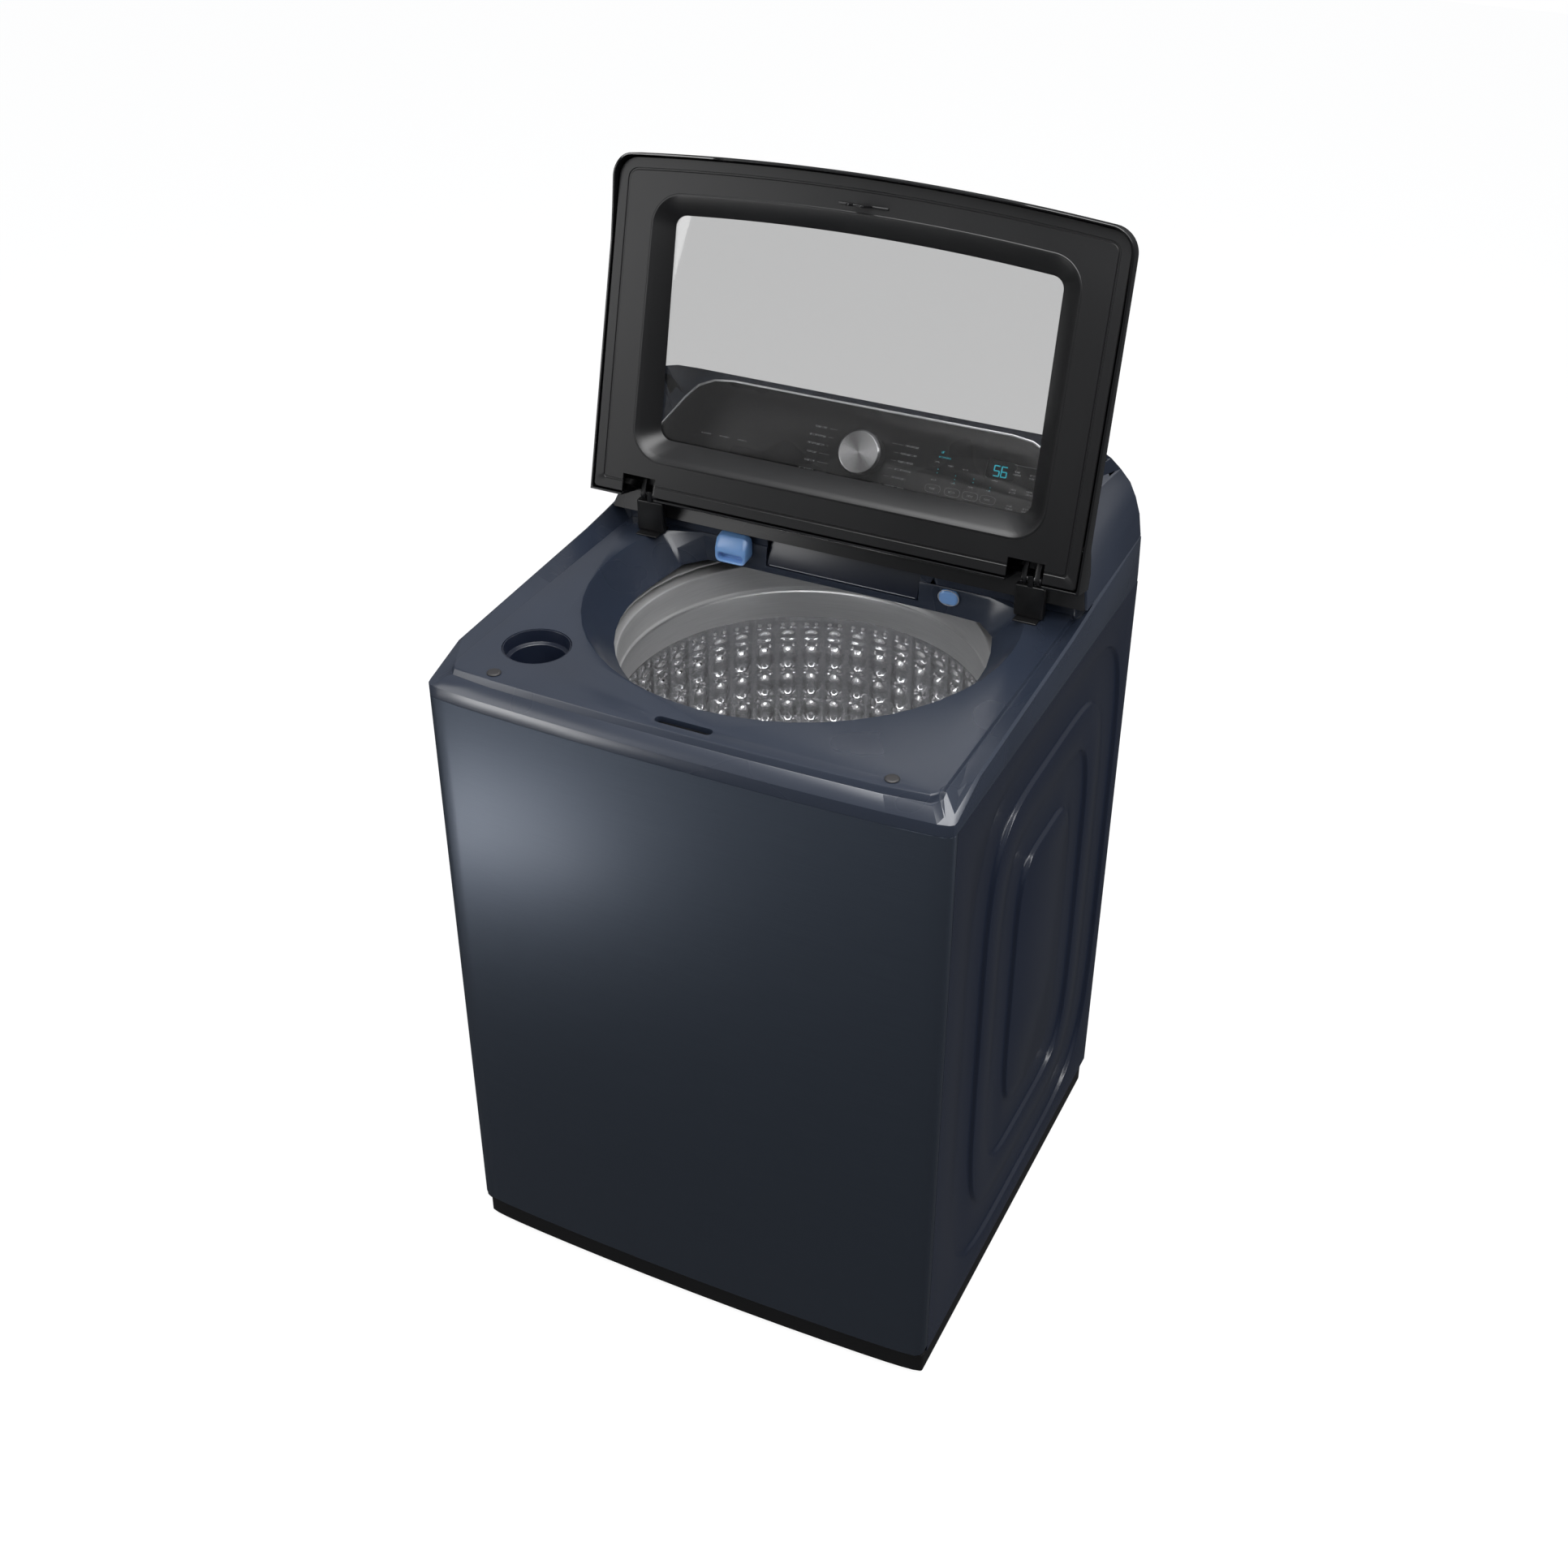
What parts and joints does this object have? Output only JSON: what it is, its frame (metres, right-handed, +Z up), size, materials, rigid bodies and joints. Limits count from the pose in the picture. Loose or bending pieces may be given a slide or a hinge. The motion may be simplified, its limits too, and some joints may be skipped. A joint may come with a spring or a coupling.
{
  "type": "top load washing machine",
  "caption": "Top load washing machine with an open windowed lid, leaning control console with a round dial, detergent drawer, bleach cup, sprung tub and spinning drum.",
  "frame": {"origin": "on the floor, under the middle of the machine's overall depth and width", "axes": "+Z up, -Y is the front with the lid lock, +X is the machine's right seen from the front"},
  "size_m": [0.7, 0.696, 1.4603],
  "materials": {
    "navy_steel": "dark navy coated steel with a fine brushed grain",
    "navy_paint": "smooth dark navy paint",
    "navy_plastic": "dark slate blue, satin to gloss",
    "black_gloss": "polished black",
    "black_satin": "satin black",
    "black_rubber": "matt black",
    "smoked_glass": "lightly smoked, polished",
    "light_blue": "light blue, translucent look",
    "silver": "bright brushed silver",
    "steel": "stainless, satin",
    "dark_steel": "zinc plated, dull",
    "grey_plastic": "mid grey",
    "white_plastic": "off-white",
    "board_green": "green circuit board",
    "copper": "steel core with copper windings",
    "display_cyan": "dark, lit with cyan digits"
  },
  "bodies": {
    "cabinet": {"base_frame": "black_satin", "bleach_cup": "navy_plastic", "console_fascia": "black_gloss", "console_housing": "navy_plastic", "console_trim": "silver", "control_board": "board_green", "cord_grommet": "black_rubber", "display_window": "display_cyan", "drain_outlet": "grey_plastic", "drawer_housing": "navy_plastic", "front_panel": "navy_steel", "inlet_valve_cold": "white_plastic", "inlet_valve_hot": "white_plastic", "knob_encoder": "black_satin", "left_side_panel": "navy_paint", "lid_bumper_left": "black_rubber", "lid_bumper_right": "black_rubber", "lid_hinge_post_left": "dark_steel", "lid_hinge_post_right": "dark_steel", "lid_lock_housing": "black_satin", "rear_panel": "navy_paint", "right_side_panel": "navy_paint", "suspension_frame": "dark_steel", "suspension_rod_front_left": "steel", "suspension_rod_front_right": "steel", "suspension_rod_rear_left": "steel", "suspension_rod_rear_right": "steel", "suspension_spring_front_left": "dark_steel", "suspension_spring_front_right": "dark_steel", "suspension_spring_rear_left": "dark_steel", "suspension_spring_rear_right": "dark_steel", "top_cover": "navy_plastic", "water_jet_spout": "light_blue"},
    "lid": {"lid_outer_frame": "black_gloss", "lid_inner_frame": "black_satin", "lid_glass": "smoked_glass", "lid_strike": "black_satin", "lid_hinge_knuckle_left": "dark_steel", "lid_hinge_knuckle_right": "dark_steel"},
    "tub": {"outer_tub": "grey_plastic", "tub_cover": "grey_plastic", "upper_bearing": "steel", "lower_bearing": "steel", "motor_stator": "copper", "drain_pump": "white_plastic"},
    "drum": {"drum": "steel", "balance_ring": "grey_plastic", "spin_shaft": "steel"},
    "drive": {"pulsator": "grey_plastic", "drive_shaft": "steel", "motor_rotor": "dark_steel"},
    "detergent_drawer": {"detergent_drawer": "navy_plastic"},
    "water_jet_button": {"water_jet_button": "light_blue"},
    "lid_lock_bolt": {"lid_lock_bolt": "white_plastic"},
    "cycle_knob": {"cycle_knob": "silver"},
    "pump_impeller": {"pump_impeller": "white_plastic"},
    "levelling_foot_front_left": {"levelling_foot_front_left": "black_rubber"},
    "levelling_foot_front_right": {"levelling_foot_front_right": "black_rubber"},
    "levelling_foot_rear_left": {"levelling_foot_rear_left": "black_rubber"},
    "levelling_foot_rear_right": {"levelling_foot_rear_right": "black_rubber"}
  },
  "joints": [
    {"name": "lid_hinge", "type": "hinge", "parent": "cabinet", "child": "lid", "pos_m": [0, 0.1045, 1.005], "axis": [1, 0, 0], "range_deg": [0, 107]},
    {"name": "cycle_knob_turn", "type": "hinge", "parent": "cabinet", "child": "cycle_knob", "pos_m": [0.006, 0.18368, 1.08847], "axis": [0, -0.8795, 0.476], "continuous": true},
    {"name": "detergent_drawer_slide", "type": "slide", "parent": "cabinet", "child": "detergent_drawer", "axis": [0, -1, 0], "range_m": [0, 0.095]},
    {"name": "water_jet_button_push", "type": "slide", "parent": "cabinet", "child": "water_jet_button", "axis": [0, 1, 0], "range_m": [0, 0.003], "stiffness_N_per_m": 300},
    {"name": "lid_lock_bolt_slide", "type": "slide", "parent": "cabinet", "child": "lid_lock_bolt", "axis": [0, -1, 0], "range_m": [0, 0.006]},
    {"name": "tub_suspension", "type": "slide", "parent": "cabinet", "child": "tub", "axis": [0, 0, 1], "range_m": [-0.02, 0.004], "stiffness_N_per_m": 12000, "springref_m": 0.02772, "deforming": ["suspension_spring_front_left", "suspension_spring_front_right", "suspension_spring_rear_left", "suspension_spring_rear_right"]},
    {"name": "drum_spin", "type": "hinge", "parent": "tub", "child": "drum", "pos_m": [0, 0.01, 0.5], "axis": [0, 0, 1], "continuous": true},
    {"name": "drive_spin", "type": "hinge", "parent": "tub", "child": "drive", "pos_m": [0, 0.01, 0.2], "axis": [0, 0, 1], "continuous": true},
    {"name": "pump_spin", "type": "hinge", "parent": "tub", "child": "pump_impeller", "pos_m": [0.14142, -0.13142, 0.16], "axis": [0, 0, 1], "continuous": true},
    {"name": "foot_front_left_screw", "type": "slide", "parent": "cabinet", "child": "levelling_foot_front_left", "axis": [0, 0, -1], "range_m": [0, 0.012]},
    {"name": "foot_front_right_screw", "type": "slide", "parent": "cabinet", "child": "levelling_foot_front_right", "axis": [0, 0, -1], "range_m": [0, 0.012]},
    {"name": "foot_rear_left_screw", "type": "slide", "parent": "cabinet", "child": "levelling_foot_rear_left", "axis": [0, 0, -1], "range_m": [0, 0.012]},
    {"name": "foot_rear_right_screw", "type": "slide", "parent": "cabinet", "child": "levelling_foot_rear_right", "axis": [0, 0, -1], "range_m": [0, 0.012]}
  ]
}
